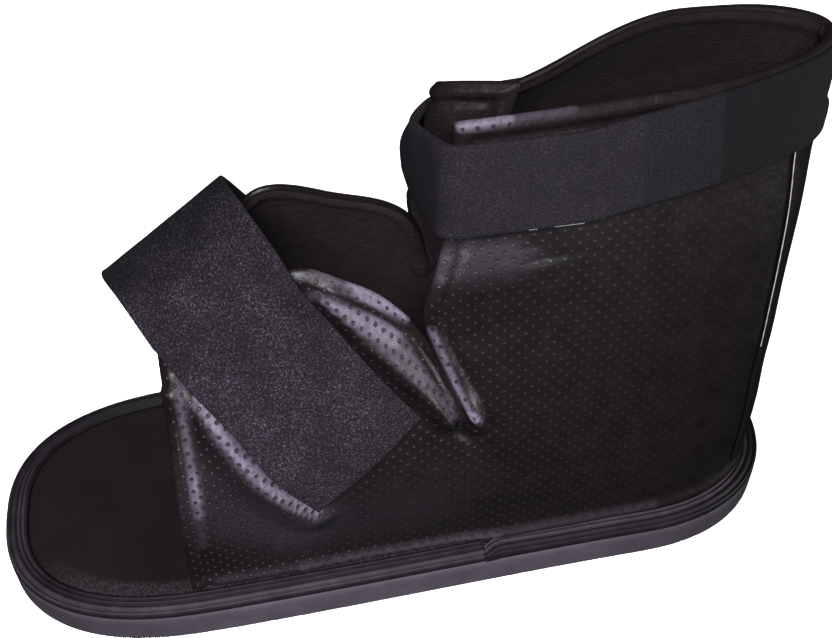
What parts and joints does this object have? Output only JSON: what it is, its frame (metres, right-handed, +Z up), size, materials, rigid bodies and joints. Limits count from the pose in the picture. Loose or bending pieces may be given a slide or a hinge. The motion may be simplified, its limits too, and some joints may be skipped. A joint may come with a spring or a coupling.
{
  "type": "cast shoe",
  "caption": "Open-toe cast shoe for the left foot: flat foam sole with a ribbed welt, padded vinyl side panels meeting at the heel, and hook-and-loop straps over the instep and ankle.",
  "frame": {"origin": "middle of the bounding box at the ground, under the sole", "axes": "+Z up, -Y towards the open toe, +Y towards the heel, +X towards the outer side of the left foot"},
  "size_m": [0.1078, 0.291, 0.1881],
  "materials": {
    "foam": "matt lavender-grey foam rubber",
    "welt": "ribbed dark rubber strip",
    "footbed_cloth": "black cloth over thin foam",
    "vinyl": "padded black vinyl embossed with small dots, black cloth inside",
    "strap_loop": "short loop pile, dark grey"
  },
  "bodies": {
    "root": {"sole": "foam", "welt_front": "welt", "welt_rear": "welt", "footbed": "footbed_cloth", "upper_lateral": "vinyl", "upper_medial": "vinyl", "backstay": "vinyl", "forefoot_strap": "strap_loop", "ankle_strap": "strap_loop"}
  },
  "joints": []
}
